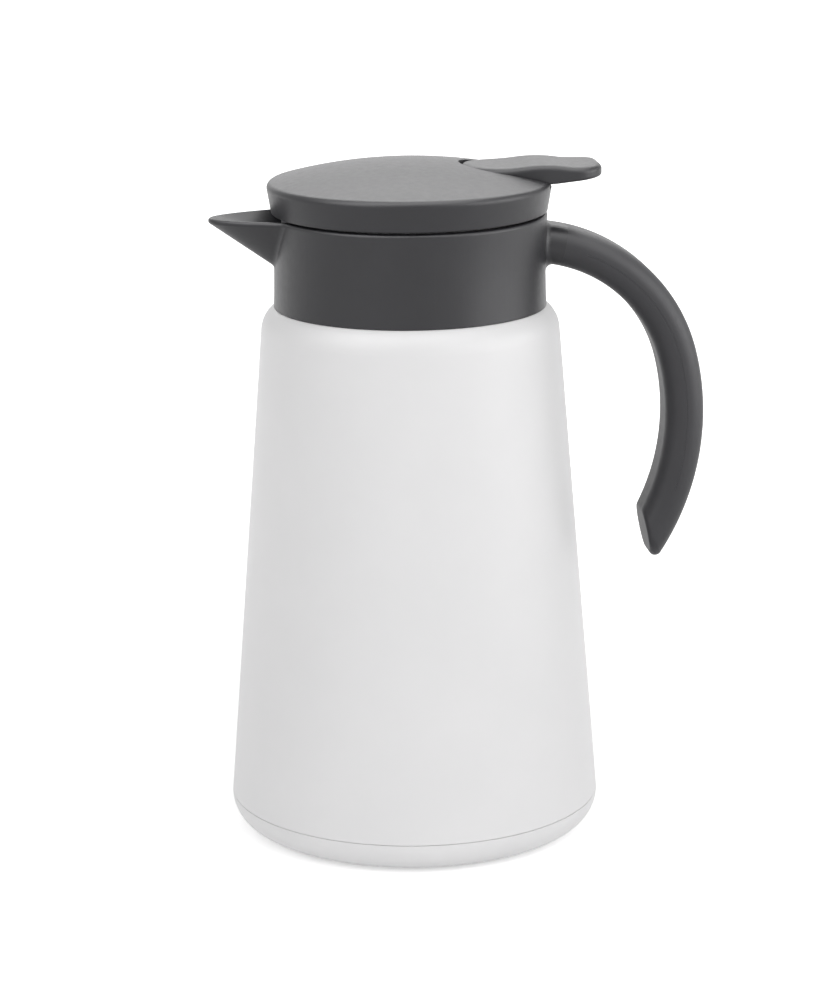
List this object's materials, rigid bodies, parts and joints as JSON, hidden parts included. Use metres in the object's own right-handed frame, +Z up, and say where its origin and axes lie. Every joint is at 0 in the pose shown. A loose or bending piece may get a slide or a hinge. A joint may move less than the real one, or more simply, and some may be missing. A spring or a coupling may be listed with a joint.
{
  "type": "thermal carafe",
  "caption": "Vacuum carafe with a tapered white steel body, grey collar with spout and open arched handle, and a screw-in stopper lid whose thumb lever opens a pouring valve.",
  "frame": {"origin": "centre of the foot pad's underside, on the body's axis, at table level", "axes": "+Z up along the body's axis, +X towards the handle and the thumb lever, -X towards the spout, +Y to the far side when the handle is on the right"},
  "size_m": [0.1625, 0.1234, 0.2233],
  "materials": {
    "white_coat": "satin white powder coat, very fine orange peel",
    "steel": "drawn and brushed stainless steel",
    "grey_plastic": "matte dark grey polypropylene with a fine moulded grain",
    "inner_plastic": "smooth dark polypropylene",
    "silicone": "soft translucent silicone",
    "foot_rubber": "soft matte rubber"
  },
  "bodies": {
    "carafe": {"outer_shell": "white_coat", "inner_flask": "steel", "base_plate": "steel", "evacuation_seal": "steel", "getter": "steel", "base_cap": "white_coat", "base_pad": "foot_rubber", "neck_collar": "grey_plastic", "mouth_gasket": "silicone", "handle_shell": "grey_plastic", "handle_cover": "grey_plastic", "handle_screw": "steel"},
    "stopper_seal": {"stopper_gasket": "silicone"},
    "lid": {"lid_cover": "grey_plastic", "stopper_body": "inner_plastic", "stopper_base": "inner_plastic", "rim_seal": "silicone", "lid_screws": "steel", "lever_pin": "steel", "stem_seal": "silicone", "stem_bush": "inner_plastic", "valve_spring": "steel"},
    "lever": {"lever": "grey_plastic"},
    "valve": {"valve_stem": "steel", "stem_head": "inner_plastic", "valve_disc": "inner_plastic", "valve_seal": "silicone", "disc_clip": "steel"}
  },
  "joints": [
    {"name": "lid_lift", "type": "slide", "parent": "carafe", "child": "stopper_seal", "axis": [0, 0, 1], "range_m": [0, 0.0361]},
    {"name": "lid_turn", "type": "hinge", "parent": "stopper_seal", "child": "lid", "pos_m": [0, 0, 0.19], "axis": [0, 0, 1], "range_deg": [0, 720]},
    {"name": "lever_press", "type": "hinge", "parent": "lid", "child": "lever", "pos_m": [0.0389, 0, 0.2129], "axis": [0, 1, 0], "range_deg": [0, 7.5], "stiffness_Nm_per_rad": 0.02, "springref_deg": -28.65},
    {"name": "valve_lift", "type": "slide", "parent": "lid", "child": "valve", "axis": [0, 0, 1], "range_m": [0, 0.0051], "deforming": ["valve_spring"]}
  ],
  "couplings": [
    {"joint": "lid_lift", "follows": "lid_turn", "m_per_rad": 0.0028648},
    {"joint": "valve_lift", "follows": "lever_press", "m_per_rad": 0.0389}
  ]
}
